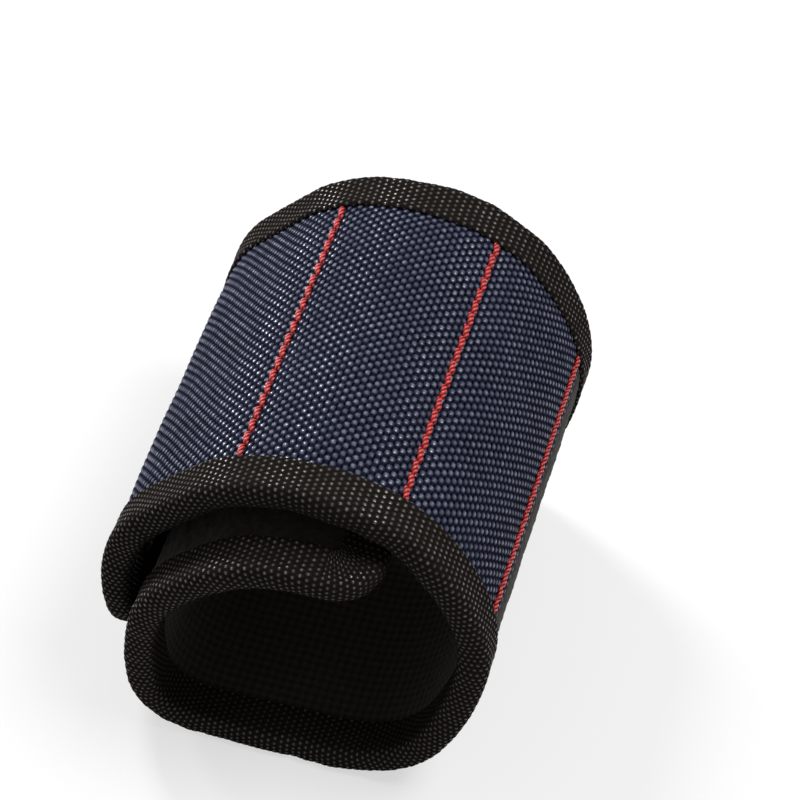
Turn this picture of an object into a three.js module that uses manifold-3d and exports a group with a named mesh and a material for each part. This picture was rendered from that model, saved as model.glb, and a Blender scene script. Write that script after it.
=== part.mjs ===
// A padded band with magnets sewn in, wound over itself and shut by hook and loop.
// Each piece is drawn flat, as it is sewn: s runs along the strap from its outer end, w across
// it and n out of its face. wind() then lays it on the wound middle line. Millimetres, +Z up.
import * as THREE from "three";
import Module from "manifold-3d";

// The sewn strap.
const STRAP_WIDTH = 90; // over the binding
const TAB_LENGTH = 15; // grip tab
const FIRST_ROW = 10; // grip tab to the first stitch row
const END_LENGTH = 37; // outer end to the bend of the left panel
const PANEL_PITCH = 36; // stitch row to stitch row
const END_RADIUS = 11; // rounded corners of both ends
const CLOTH = 0.8; // shell, loop face and lining
const CROWN = 0.6; // rise of a magnet panel's shell over its edges
const CROWN_INSET = 1.8; // stitch row to where the rise starts
const FOAM = 3.4;
const TAPE = 0.6; // binding tape
const TAPE_COVER = 9; // tape folded onto each face
const THREAD = 0.8;
const STITCH = 3;
const ROW_INSET = 1.3; // stitch row to the fold beside it
const LAST_ROW_INSET = 3.6; // navy left beyond the last row
const HOOK = 1.2; // thickness of the hook patch
const HOOK_INSET = 2; // grip tab to the hook patch
const HOOK_LENGTH = 28;
const HOOK_WIDTH = 64;
const MAGNET_DIAMETER = 14;
const MAGNET = 1.8;
const MAGNET_STEP = 24;
const MAGNETS_PER_PANEL = 3;

// Clearances.
const LAYER_GAP = 0.1; // between sewn layers
const FOLD_GAP = 0.3; // between neighbouring panels
const POCKET_GAP = 0.2; // around a magnet
const WRAP_GAP = 0.7; // least room between the outer turn's inside and the tape of the turn beneath

// The wound form.
const LOOP_DROP = 82; // middle line of the top panel down to that of the underside
const INNER_DROP = 13; // the same down to the inner turn's top
const SKEW = 0.04; // shift to the near side for each millimetre along the strap
const BEND_REACH = 9; // a bend's reach to either side of its stitch row
const END_BEND = 10; // length of the left panel's bend
const TAB_HEADING = 95; // degrees from +X, the way the strap runs
const BEND_HEADING = 70;
const LEFT_HEADING = 51;
const ROW_HEADINGS = [[49, 16], [-9, -48], [-68, -96]]; // before and after each later row
const BELLY_CORNER = 24;
const BACK_CORNER = 18;
const SHOULDER_CORNER = 22;
const SHOULDER = 14; // the inner turn's stretch along the left panel, in two halves
const EASE = 8; // length over which the underside flattens
const INNER_CREST = 3; // the inner turn's top
const END_STRAIGHT = END_RADIUS; // straight stretch at the inner end, under its tape
const FOLD_HEADINGS = [-135, -205, -262, -318]; // folds of the loop part
const OPEN_EASE = [3, 8]; // degrees short of flat right and left of the underside, to clear the table
const STEP = 3; // spacing of the facets along the strap

// Finishes: colour, roughness, metalness.
const FINISH = {
  shell: [0x1b2136, 0.75, 0],
  loop: [0x0b0b0d, 0.95, 0],
  lining: [0x121214, 0.9, 0],
  insert: [0x2a2a2c, 0.95, 0],
  foam: [0x2a2a2c, 0.95, 0],
  binding: [0x0e0d0d, 0.8, 0],
  hook: [0x0a0a0b, 0.85, 0],
  stitch: [0xd01512, 0.6, 0],
  magnet: [0xb9bbc0, 0.25, 1],
};

const FACE_N = FOAM / 2 + LAYER_GAP + CLOTH;
const TAPE_N = FACE_N + LAYER_GAP + TAPE;
const HINGE_N = TAPE_N + LAYER_GAP;
const LAYER_HALF = STRAP_WIDTH / 2 - TAPE - LAYER_GAP;
const HOOK_N = FACE_N + LAYER_GAP + HOOK;
const HOOK_START = TAB_LENGTH + HOOK_INSET;
const ROWS = [0, 1, 2, 3].map((i) => END_LENGTH + i * PANEL_PITCH);
const HINGES = [TAB_LENGTH, ...ROWS.slice(1)];

const wasm = await Module();
wasm.setup();

/** Knots [s, heading] of the middle line, with three free lengths. */
function knotsOf([side, belly, back]) {
  const knots = [
    [0, TAB_HEADING], [TAB_LENGTH, TAB_HEADING],
    [ROWS[0], BEND_HEADING], [ROWS[0] + END_BEND, LEFT_HEADING],
  ];
  ROW_HEADINGS.forEach(([before, after], i) => {
    knots.push([ROWS[i + 1] - BEND_REACH, before], [ROWS[i + 1] + BEND_REACH, after]);
  });
  const rest = [
    [side, -114], [BELLY_CORNER, -172], [EASE, -180], [belly, -180], [EASE, -188],
    [BACK_CORNER, -263], [back, -283], [SHOULDER, -308], [SHOULDER, -316],
    [SHOULDER_CORNER, -355], [INNER_CREST, -363], [END_STRAIGHT, -363],
  ];
  for (const [length, heading] of rest) {
    knots.push([knots[knots.length - 1][0] + length, heading]);
  }
  return knots;
}

/** Middle line of the strap: arcs between knots, with the middle of the top panel at x = z = 0. */
class MiddleLine {
  constructor(knots) {
    this.knots = knots;
    this.arcs = [];
    let x = 0;
    let z = 0;
    for (let i = 0; i + 1 < knots.length; i++) {
      const [s0, h0] = knots[i];
      const [s1, h1] = knots[i + 1];
      const arc = { s0, s1, h0: THREE.MathUtils.degToRad(h0), x, z };
      arc.rate = THREE.MathUtils.degToRad(h1 - h0) / (s1 - s0);
      this.arcs.push(arc);
      [x, z] = this.run(arc, s1);
    }
    this.length = knots[knots.length - 1][0];
    const top = this.at(ROWS[1] + PANEL_PITCH / 2);
    for (const arc of this.arcs) {
      arc.x -= top.x;
      arc.z -= top.z;
    }
  }

  run(arc, s) {
    const d = s - arc.s0;
    const turn = arc.rate * d;
    const chord = Math.abs(turn) < 1e-9 ? d : (2 * Math.sin(turn / 2)) / arc.rate;
    const way = arc.h0 + turn / 2;
    return [arc.x + chord * Math.cos(way), arc.z + chord * Math.sin(way)];
  }

  at(s) {
    const arc = this.arcs.find((a) => s <= a.s1) ?? this.arcs[this.arcs.length - 1];
    const [x, z] = this.run(arc, s);
    return { x, z, heading: arc.h0 + arc.rate * (s - arc.s0) };
  }

  stationOf(degrees) {
    const want = THREE.MathUtils.degToRad(degrees);
    const arc = this.arcs.find((a) => {
      const end = a.h0 + a.rate * (a.s1 - a.s0);
      return a.rate < 0 && a.h0 >= want && end <= want;
    });
    return arc.s0 + (want - arc.h0) / arc.rate;
  }
}

/** Least room between the outer turn's inside, hook patch included, and the tape beneath it. */
function wrapRoom(line) {
  const beneath = stations(line.stationOf(-230), line.length, 1).map((s) => line.at(s));
  const inside = [
    ...stations(0, ROWS[1], 1).map((s) => [s, TAPE_N]),
    ...stations(HOOK_START, HOOK_START + HOOK_LENGTH, 1).map((s) => [s, HOOK_N]),
  ];
  const rooms = inside.map(([s, n]) => {
    const { x, z, heading } = line.at(s);
    const [px, pz] = [x + n * Math.sin(heading), z - n * Math.cos(heading)];
    return Math.min(...beneath.map((b) => Math.hypot(b.x - px, b.z - pz))) - TAPE_N;
  });
  return Math.min(...rooms);
}

/** How far the wound line misses the underside, the room at its left and the inner top. */
function misses(free) {
  const line = new MiddleLine(knotsOf(free));
  const under = line.at(line.stationOf(-180));
  const inner = line.at(line.stationOf(-360));
  return [under.z + LOOP_DROP, wrapRoom(line) - WRAP_GAP, inner.z + INNER_DROP];
}

/** Newton's method for the three free lengths of the wound line. */
function solveLine() {
  let free = [24, 19, 20];
  for (let turn = 0; turn < 30; turn++) {
    const now = misses(free);
    const columns = free.map((v, i) => {
      const moved = free.slice();
      moved[i] = v + 1e-4;
      return misses(moved).map((m, k) => (m - now[k]) / 1e-4);
    });
    const m = new THREE.Matrix3().set(
      columns[0][0], columns[1][0], columns[2][0],
      columns[0][1], columns[1][1], columns[2][1],
      columns[0][2], columns[1][2], columns[2][2],
    );
    const step = new THREE.Vector3(...now).applyMatrix3(m.invert());
    free = free.map((v, i) => Math.max(0.5, v - step.getComponent(i)));
  }
  return new MiddleLine(knotsOf(free));
}

const line = solveLine();
const FOLDS = FOLD_HEADINGS.map((h) => line.stationOf(h));
const FLAT = line.knots.filter(([, h]) => h === -180).map(([s]) => s); // ends of the flat underside
const MIDDLE = ROWS[1] + PANEL_PITCH / 2;

/** A point of the flat strap in its wound place. */
function wind(s, w, n) {
  const { x, z, heading } = line.at(s);
  return [x - n * Math.sin(heading), w - SKEW * (s - MIDDLE), z + n * Math.cos(heading)];
}

/** Closed mesh over rings of equal point count, capped at both ends. */
function skin(rings) {
  const count = rings[0].points.length;
  const points = rings.flatMap((ring) => ring.points.map((p) => wind(...p)));
  const faces = [];
  for (let r = 0; r + 1 < rings.length; r++) {
    for (let i = 0; i < count; i++) {
      const a = r * count + i;
      const b = r * count + ((i + 1) % count);
      faces.push([a, b, b + count], [a, b + count, a + count]);
    }
  }
  const outline = rings[0].outline.map(([u, v]) => new THREE.Vector2(u, v));
  const last = (rings.length - 1) * count;
  for (const [a, b, c] of THREE.ShapeUtils.triangulateShape(outline, [])) {
    faces.push([c, b, a], [a + last, b + last, c + last]);
  }
  let volume = 0;
  for (const [a, b, c] of faces) {
    const [p, q, r] = [a, b, c].map((i) => new THREE.Vector3(...points[i]));
    volume += p.dot(q.cross(r));
  }
  const index = faces.flatMap((f) => (volume < 0 ? f.slice().reverse() : f));
  const geometry = new THREE.BufferGeometry();
  geometry.setAttribute("position", new THREE.Float32BufferAttribute(points.flat(), 3));
  geometry.setIndex(index);
  return geometry;
}

/** Evenly spaced stations from one place to another. */
function stations(from, to, step = STEP) {
  const count = Math.max(1, Math.ceil(Math.abs(to - from) / step));
  return Array.from({ length: count + 1 }, (_, i) => from + ((to - from) * i) / count);
}

/** Stations along the strap: the flat underside and its eased ends get them only at their own ends. */
function strapStations(from, to) {
  const [low, high] = [FLAT[0] - EASE, FLAT[1] + EASE];
  if (from >= low || to <= high) return stations(from, to);
  return [...stations(from, low), ...FLAT, ...stations(high, to)];
}

/** Places along a body; an end with rounded corners gets finer ones, each with a half width. */
function bodyPlaces(from, to, roundStart, roundEnd, half = LAYER_HALF) {
  const radius = END_RADIUS - (STRAP_WIDTH / 2 - half);
  const inset = STRAP_WIDTH / 2 - half;
  const round = Array.from({ length: 7 }, (_, i) => (i * Math.PI) / 12).map((a) => [
    radius * (1 - Math.cos(a)) + inset,
    half - radius * (1 - Math.sin(a)),
  ]);
  const start = roundStart ? from + inset + radius : from;
  const end = roundEnd ? to - inset - radius : to;
  const middle = strapStations(start, end).map((s) => [s, half]);
  const head = roundStart ? round.slice(0, -1).map(([d, h]) => [from + d, h]) : [];
  const tail = roundEnd ? round.slice(0, -1).reverse().map(([d, h]) => [to - d, h]) : [];
  return [...head, ...middle, ...tail];
}

/** One layer of cloth or foam between two heights. */
function layer(places, low, high) {
  return skin(places.map(([s, half]) => ({
    points: [[s, -half, low], [s, half, low], [s, half, high], [s, -half, high]],
    outline: [[-half, low], [half, low], [half, high], [-half, high]],
  })));
}

/** A padded face: flat at its edges, and crowned by the pad under it. */
function padded(places, low, high, [from, to]) {
  const swell = (u) => 1 - Math.min(1, Math.abs(u)) ** 4;
  const across = Array.from({ length: 11 }, (_, i) => i / 5 - 1);
  const inner = STRAP_WIDTH / 2 - TAPE_COVER;
  return skin(places.map(([s, half]) => {
    const along = swell((2 * (s - from)) / (to - from) - 1);
    const face = across.map((u) => [s, u * inner, high + CROWN * along * swell(u)]).reverse();
    const points = [[s, -half, low], [s, half, low], [s, half, high], ...face, [s, -half, high]];
    return { points, outline: points.map(([, w, n]) => [w, n]) };
  }));
}

/** Section of the folded tape: distance in from the strap's edge, and height. */
const TAPE_SECTION = (() => {
  const under = FACE_N + LAYER_GAP;
  const bend = 1.6;
  const half = [
    [TAPE_COVER, under], [TAPE_COVER, TAPE_N], [bend, TAPE_N],
    [bend * 0.35, TAPE_N - bend * 0.25], [0, TAPE_N - bend],
  ];
  const mirrored = half.slice().reverse().map(([d, n]) => [d, -n]);
  return [...half, ...mirrored, [TAPE, -under], [TAPE, under]];
})();

/** Tape folded over an edge: path of [s, w, inward s, inward w]. */
function tape(path) {
  return skin(path.map(([s, w, inS, inW]) => ({
    points: TAPE_SECTION.map(([d, n]) => [s + d * inS, w + d * inW, n]),
    outline: TAPE_SECTION,
  })));
}

/** Straight run of the edge on one side, near (-1) or far (+1). */
function edgeRun(from, to, side) {
  return strapStations(from, to).map((s) => [s, (side * STRAP_WIDTH) / 2, 0, -side]);
}

/** Edge of a rounded end: in along the near side, across, and back along the far side. */
function endRun(joint, tip) {
  const way = Math.sign(tip - joint);
  const corner = tip - way * END_RADIUS;
  const across = STRAP_WIDTH / 2 - END_RADIUS;
  const arc = Array.from({ length: 7 }, (_, i) => (i * Math.PI) / 12);
  const near = arc.map((a) => {
    const [c, d] = [Math.cos(a), Math.sin(a)];
    return [corner + way * END_RADIUS * d, -across - END_RADIUS * c, -way * d, c];
  });
  const far = near.map(([s, w, inS, inW]) => [s, -w, inS, -inW]).reverse();
  const legs = edgeRun(joint, corner, -1).slice(0, -1);
  const back = edgeRun(corner, joint, 1).slice(1);
  return [...legs, ...near, ...far, ...back];
}

/** A row of stitches: one thread that rises on top of each stitch and dips between them. */
function stitchRow(s) {
  const reach = STRAP_WIDTH / 2 - TAPE_COVER - LAYER_GAP;
  const count = Math.round((2 * reach) / STITCH);
  const radius = THREAD / 2;
  const sides = Array.from({ length: 6 }, (_, i) => (i * Math.PI) / 3);
  const section = sides.map((a) => [radius * Math.cos(a), radius * Math.sin(a)]);
  const path = stations(-reach, reach, (2 * reach) / (count * 4));
  return skin(path.map((w, i) => {
    const rise = FACE_N + LAYER_GAP + radius + radius * 0.35 * Math.abs(Math.sin((i * Math.PI) / 4));
    return {
      points: section.map(([u, v]) => [s + u, w, rise + v]),
      outline: section,
    };
  }));
}

/** A disc that lies square to the strap at (s, w), between two heights. */
function disc(s, w, low, high, radius) {
  const { heading } = line.at(s);
  const out = new THREE.Vector3(-Math.sin(heading), 0, Math.cos(heading));
  const mesh = new THREE.Mesh(new THREE.CylinderGeometry(radius, radius, high - low, 32));
  mesh.quaternion.setFromUnitVectors(new THREE.Vector3(0, 1, 0), out);
  mesh.position.set(...wind(s, w, (low + high) / 2));
  mesh.updateMatrix();
  return mesh;
}

/** A geometry as a solid for cutting. */
function solid(geometry) {
  const flat = new Map();
  const vertProperties = [];
  const position = geometry.getAttribute("position");
  const triVerts = Array.from(geometry.index.array, (i) => {
    const p = [position.getX(i), position.getY(i), position.getZ(i)];
    const key = p.map((v) => v.toFixed(4)).join();
    if (!flat.has(key)) {
      flat.set(key, vertProperties.length / 3);
      vertProperties.push(...p);
    }
    return flat.get(key);
  });
  return new wasm.Manifold(new wasm.Mesh({
    numProp: 3,
    vertProperties: new Float32Array(vertProperties),
    triVerts: new Uint32Array(triVerts),
  }));
}

/** First geometry less the others. */
function cut(geometry, tools) {
  const made = tools.reduce((left, tool) => left.subtract(solid(tool)), solid(geometry));
  const mesh = made.getMesh();
  const result = new THREE.BufferGeometry();
  result.setAttribute("position", new THREE.Float32BufferAttribute(mesh.vertProperties, 3));
  result.setIndex(Array.from(mesh.triVerts));
  return result;
}

const band = new THREE.Group();
band.name = "magnetic_wristband";
const strap = new THREE.Group();
band.add(strap);

/** Group for one stretch of the strap, between two folds. */
function stretch() {
  const group = new THREE.Group();
  strap.add(group);
  return group;
}

/** Puts a piece into its stretch; the first word of its name gives its finish. */
function add(group, name, piece) {
  const mesh = piece.isMesh ? piece : new THREE.Mesh(piece);
  const [color, roughness, metalness] = FINISH[name.split("_")[0]];
  mesh.material = new THREE.MeshStandardMaterial({ color, roughness, metalness });
  mesh.name = name;
  group.add(mesh);
}

/** Foam and lining, which every stretch has. */
function addFilling(group, label, places) {
  add(group, `foam_${label}`, layer(places, -FOAM / 2, FOAM / 2));
  add(group, `lining_${label}`, layer(places, -FACE_N, CLOTH - FACE_N));
}

/** Both edge tapes of a stretch. */
function addTapes(group, label, from, to) {
  add(group, `binding_near_${label}`, tape(edgeRun(from, to, -1)));
  add(group, `binding_far_${label}`, tape(edgeRun(from, to, 1)));
}

/** A panel between two stitch rows, with its magnets in pockets of the insert. */
function addMagnetPanel(group, label, [from, to], middle, crowned) {
  const radius = MAGNET_DIAMETER / 2;
  const places = bodyPlaces(from, to, false, false);
  const across = Array.from(
    { length: MAGNETS_PER_PANEL },
    (_, i) => (i - (MAGNETS_PER_PANEL - 1) / 2) * MAGNET_STEP,
  );
  const pockets = across.map((w) => {
    const tool = disc(middle, w, -MAGNET / 2 - LAYER_GAP, FOAM, radius + POCKET_GAP);
    return tool.geometry.applyMatrix4(tool.matrix);
  });
  add(group, `shell_${label}`, padded(places, FACE_N - CLOTH, FACE_N, crowned));
  add(group, `insert_${label}`, cut(layer(places, -FOAM / 2, FOAM / 2), pockets));
  across.forEach((w, i) => {
    add(group, `magnet_${label}_${i + 1}`, disc(middle, w, -MAGNET / 2, MAGNET / 2, radius));
  });
  add(group, `lining_${label}`, layer(places, -FACE_N, CLOTH - FACE_N));
  addTapes(group, label, from, to);
}

const trim = FOLD_GAP / 2;

// The grip tab, rounded at its outer end.
const tab = stretch();
const tabPlaces = bodyPlaces(0, TAB_LENGTH - trim, true, false);
add(tab, "shell_tab", layer(tabPlaces, FACE_N - CLOTH, FACE_N));
addFilling(tab, "tab", tabPlaces);
add(tab, "binding_tab", tape(endRun(TAB_LENGTH - trim, 0)));

// The magnet panels, the stitch rows that part them, and the hook patch inside the left one.
const sewn = [
  TAB_LENGTH + FIRST_ROW, ROWS[1] + ROW_INSET, ROWS[2] - ROW_INSET, ROWS[3] - LAST_ROW_INSET,
];
const panels = ["left", "top", "right"].map((label, i) => {
  const group = stretch();
  const crowned = [sewn[i] + CROWN_INSET, sewn[i + 1] - CROWN_INSET];
  const ends = [HINGES[i] + trim, HINGES[i + 1] - trim];
  addMagnetPanel(group, label, ends, ROWS[i] + PANEL_PITCH / 2, crowned);
  return group;
});
[panels[0], panels[1], panels[1], panels[2]].forEach((group, i) => {
  add(group, `stitch_row_${i + 1}`, stitchRow(sewn[i]));
});
const hookPlaces = stations(HOOK_START, HOOK_START + HOOK_LENGTH, STEP / 2)
  .map((s) => [s, HOOK_WIDTH / 2]);
add(panels[0], "hook_patch", layer(hookPlaces, -HOOK_N, HOOK - HOOK_N));

// The loop part: down the right, under, and up inside to the inner end.
const folds = [ROWS[3], ...FOLDS];
["lower_right", "under", "lower_left", "inner_left"].forEach((label, i) => {
  const group = stretch();
  const [from, to] = [folds[i] + trim, folds[i + 1] - trim];
  const places = bodyPlaces(from, to, false, false);
  add(group, `loop_${label}`, layer(places, FACE_N - CLOTH, FACE_N));
  addFilling(group, label, places);
  addTapes(group, label, from, to);
});
const end = stretch();
const endPlaces = bodyPlaces(folds[4] + trim, line.length, false, true);
add(end, "loop_inner_top", layer(endPlaces, FACE_N - CLOTH, FACE_N));
addFilling(end, "inner_top", endPlaces);
add(end, "binding_inner_top", tape(endRun(folds[4] + trim, line.length)));

// The part stands on its underside, centred over the origin.
const box = new THREE.Box3().setFromObject(strap, true);
const middle = box.getCenter(new THREE.Vector3());
const drop = new THREE.Vector3(-middle.x, -middle.y, -box.min.z);
strap.position.copy(drop);

// Each fold's axis and the turn that opens it flat.
const ends = [0, ...HINGES, ...FOLDS, line.length];
const centres = ends.slice(1).map((s, i) => (s + ends[i]) / 2);
band.userData.folds = ends.slice(1, -1).map((s, i) => {
  const [x, y, z] = wind(s, 0, HINGE_N);
  const ease = OPEN_EASE[i - HINGES.length] ?? 0;
  const turn = line.at(centres[i]).heading - line.at(centres[i + 1]).heading;
  return {
    s,
    at: [x + drop.x, y + drop.y, z + drop.z],
    opens: THREE.MathUtils.radToDeg(turn) - ease,
  };
});
band.userData.length = line.length;
band.userData.knots = line.knots;
band.userData.drop = drop.toArray();

export default band;
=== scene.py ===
"""Dresses the wound magnetic band: woven shell, loop face, lining, folded edge tape and red stitching."""
import logging
import math
from dataclasses import dataclass, field, replace
from enum import Enum

import bmesh
import bpy
import numpy as np
from mathutils import Matrix, Vector


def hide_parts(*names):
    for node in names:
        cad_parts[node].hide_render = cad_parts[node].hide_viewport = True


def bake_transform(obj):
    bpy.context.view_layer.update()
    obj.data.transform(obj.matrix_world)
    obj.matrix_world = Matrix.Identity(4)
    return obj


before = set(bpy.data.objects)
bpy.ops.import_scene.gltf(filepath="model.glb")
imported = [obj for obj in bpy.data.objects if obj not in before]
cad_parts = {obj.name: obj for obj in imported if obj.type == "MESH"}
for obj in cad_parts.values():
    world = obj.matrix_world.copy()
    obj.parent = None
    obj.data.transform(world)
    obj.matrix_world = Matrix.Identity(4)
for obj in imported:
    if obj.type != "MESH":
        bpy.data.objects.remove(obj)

logging.basicConfig(level=logging.INFO, format="%(name)s: %(message)s")
LOG = logging.getLogger("wristband")

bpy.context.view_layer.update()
Triple = tuple[float, float, float]
MM = 0.001

# Lengths are in millimetres, and stations count along the strap from its outer end.
STRAP_HALF = 45.0  # half width over the tape
COVER = 9.0  # tape folded onto each face
END_RADIUS = 11.0
RIGHT_WALL, UNDERSIDE, LEFT_WALL = 26.9421898, 17.2865958, 24.6982652  # lengths that close the loop
ROWS = (25.0, 74.3, 107.7, 141.4)  # stations of the stitch rows
PANEL_CROWN = 0.95  # rise of the shell between two rows
ROW_DIP, ROW_REACH, ROW_GATHER = 0.42, 1.3, 3.42  # pull of a row: depth, reach and spacing of its gathers
NAVY_END = 145.0
PANELS = ("left", "top", "right")
MAGNET_STATIONS = (55.0, 91.0, 127.0)
MAGNET_STEP = 24.0


class Side(Enum):
    """Long edges of the strap."""

    NEAR = -1
    FAR = 1


class Slot(Enum):
    """Finishes that the pieces wear."""

    NAVY = "navy_nylon"
    LOOP = "black_loop"
    LINING = "lining"
    FOAM = "foam"
    TAPE = "binding_tape"
    HOOK = "hook_tape"
    THREAD = "red_thread"
    MAGNET = "magnet"


def lattice(i: np.ndarray, j: np.ndarray, seed: int) -> np.ndarray:
    """Steady scatter from 0 to 1 for whole-number places.

    Args:
        i: First whole number of each place.
        j: Second whole number of each place.
        seed: Sets one scatter apart from another.

    Returns:
        One value from 0 to 1 for each place.
    """
    value = np.sin(i * 127.1 + j * 311.7 + seed * 74.7) * 43758.5453
    return value - np.floor(value)


def drift(u: np.ndarray, v: np.ndarray, seed: int) -> np.ndarray:
    """Smooth unevenness from -1 to 1 over a plane.

    Args:
        u: First coordinate, in cells.
        v: Second coordinate, in cells.
        seed: Sets one field apart from another.

    Returns:
        One value for each point.
    """
    i, j = np.floor(u), np.floor(v)
    a, b = u - i, v - j
    a, b = a * a * (3 - 2 * a), b * b * (3 - 2 * b)
    low = lattice(i, j, seed) * (1 - a) + lattice(i + 1, j, seed) * a
    high = lattice(i, j + 1, seed) * (1 - a) + lattice(i + 1, j + 1, seed) * a
    return 2 * (low * (1 - b) + high * b) - 1


def swell(t: np.ndarray, power: float = 4.0) -> np.ndarray:
    """Crown of a pad: 1 in the middle and 0 at -1 and 1."""
    return 1 - np.minimum(1, np.abs(t)) ** power


@dataclass
class WoundStrap:
    """Middle line of the strap as it is worn: arcs, each with its length and its heading at the end."""

    heading: float = 95.0
    arcs: tuple[tuple[float, float], ...] = (
        (15, 95), (22, 70), (10, 51), (17, 49), (18, 16), (18, -9), (18, -48), (18, -68), (18, -96),
        (RIGHT_WALL, -114), (24, -172), (8, -180), (UNDERSIDE, -180), (8, -188), (18, -263),
        (LEFT_WALL, -283), (14, -308), (14, -316), (22, -355), (3, -363), (11, -363),
    )
    middle: float = 91.0
    skew: float = 0.04
    place: Triple = (3.0137005, 3.2585411, 85.3)
    starts: np.ndarray = field(init=False)
    headings: np.ndarray = field(init=False)
    rates: np.ndarray = field(init=False)
    corners: np.ndarray = field(init=False)

    def __post_init__(self) -> None:
        """Works out where each arc starts."""
        lengths = np.array([length for length, _ in self.arcs], float)
        self.starts = np.concatenate([[0], np.cumsum(lengths)])
        self.headings = np.radians([self.heading, *(heading for _, heading in self.arcs)])
        turns = np.diff(self.headings)
        self.rates = turns / lengths
        chords = lengths * np.sinc(turns / 2 / np.pi)
        ways = self.headings[:-1] + turns / 2
        steps = np.stack([chords * np.cos(ways), chords * np.sin(ways)], 1)
        self.corners = np.vstack([[0, 0], np.cumsum(steps, 0)])
        x, z, _ = self.line(np.array([self.middle]))
        self.corners = self.corners - np.array([x[0], z[0]])

    @property
    def length(self) -> float:
        """Length of the strap."""
        return float(self.starts[-1])

    def line(self, s: np.ndarray) -> tuple[np.ndarray, np.ndarray, np.ndarray]:
        """Point and heading of the middle line.

        Args:
            s: Distance along the strap from its outer end, in mm.

        Returns:
            x, z and heading for each distance.
        """
        i = np.clip(np.searchsorted(self.starts, s, "right") - 1, 0, len(self.rates) - 1)
        d = s - self.starts[i]
        turn = self.rates[i] * d
        chord = d * np.sinc(turn / 2 / np.pi)
        way = self.headings[i] + turn / 2
        x = self.corners[i, 0] + chord * np.cos(way)
        z = self.corners[i, 1] + chord * np.sin(way)
        return x, z, self.headings[i] + turn

    def wind(self, s: np.ndarray, w: np.ndarray, n: np.ndarray) -> np.ndarray:
        """Lays points of the flat strap in their wound place.

        Args:
            s: Distance along the strap, in mm.
            w: Distance across it from the middle.
            n: Height over its middle.

        Returns:
            Points in metres, one row each.
        """
        x, z, h = self.line(s)
        return MM * np.stack([
            x - n * np.sin(h) + self.place[0],
            w - self.skew * (s - self.middle) + self.place[1],
            z + n * np.cos(h) + self.place[2],
        ], 1)


STRAP = WoundStrap()


@dataclass(frozen=True)
class Span:
    """A stretch of the strap across one fold, from the middle of one body to the next."""

    label: str
    start: float
    end: float
    bodies: tuple[str, str]
    bend: tuple[float, float]

    @property
    def length(self) -> float:
        """Length of the span."""
        return self.end - self.start

    def cut(self, start: float, end: float) -> "Span":
        """The part of the span between two stations."""
        return replace(self, start=max(self.start, start), end=min(self.end, end))

    def nodes(self, kind: str) -> tuple[str, ...]:
        """Solids of one kind that a piece on the span stands for: two on the inner span."""
        bodies = self.bodies if self.label == "inner" else (self.label,)
        return tuple(f"{kind}_{body}" for body in bodies)

    def follow(self, piece: bpy.types.Object) -> None:
        """Bakes the piece's transform into its points."""
        ends = STRAP.wind(np.array(self.bend), np.zeros(2), np.zeros(2))
        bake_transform(piece)

    def stations(self, step: float) -> np.ndarray:
        """Places along the span on a shared grid, with both ends."""
        k = np.arange(math.floor(self.start / step) + 1, math.ceil(self.end / step)) * step
        k = k[(k > self.start + step * 0.3) & (k < self.end - step * 0.3)]
        return np.concatenate([[self.start], k, [self.end]])


SPANS = (
    Span("tab", 0, 53, ("tab", "left"), (6, 26)),
    Span("left", 53, 91, ("left", "top"), (63, 83)),
    Span("top", 91, 127, ("top", "right"), (99, 119)),
    Span("right", 127, 167.3, ("right", "lower_right"), (135, 158)),
    Span("lower_right", 167.3, 216, ("lower_right", "under"), (174, 206)),
    Span("under", 216, 249.2, ("under", "lower_left"), (229, 246)),
    Span("lower_left", 249.2, 283, ("lower_left", "inner_left"), (252, 268)),
    Span("inner", 283, STRAP.length, ("inner_left", "inner_top"), (292, 327)),
)


class Value:
    """A socket that adds Math nodes when it is used in sums."""

    def __init__(self, bench: "Bench", socket: bpy.types.NodeSocket) -> None:
        """Holds the socket and the bench that it is on."""
        self.bench = bench
        self.socket = socket

    def math(self, operation: str, *others: "Value | float", swap: bool = False) -> "Value":
        """Adds one Math node.

        Args:
            operation: The node's operation.
            others: Further inputs.
            swap: Puts the other input first.

        Returns:
            The node's output.
        """
        inputs = [self, *others]
        if swap:
            inputs.reverse()
        node = self.bench.add("ShaderNodeMath", {"operation": operation}, dict(enumerate(inputs)))
        return self.bench.out(node)

    def __add__(self, other: "Value | float") -> "Value":
        """Sum."""
        return self.math("ADD", other)

    __radd__ = __add__

    def __sub__(self, other: "Value | float") -> "Value":
        """Difference."""
        return self.math("SUBTRACT", other)

    def __rsub__(self, other: float) -> "Value":
        """Difference from a number."""
        return self.math("SUBTRACT", other, swap=True)

    def __mul__(self, other: "Value | float") -> "Value":
        """Product."""
        return self.math("MULTIPLY", other)

    def __pow__(self, other: float) -> "Value":
        """Power."""
        return self.math("POWER", other)

    def unit(self) -> "Value":
        """Held between 0 and 1."""
        return self.math("MINIMUM", 1.0).math("MAXIMUM", 0.0)

    def sine(self) -> "Value":
        """Sine."""
        return self.math("SINE")


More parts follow.
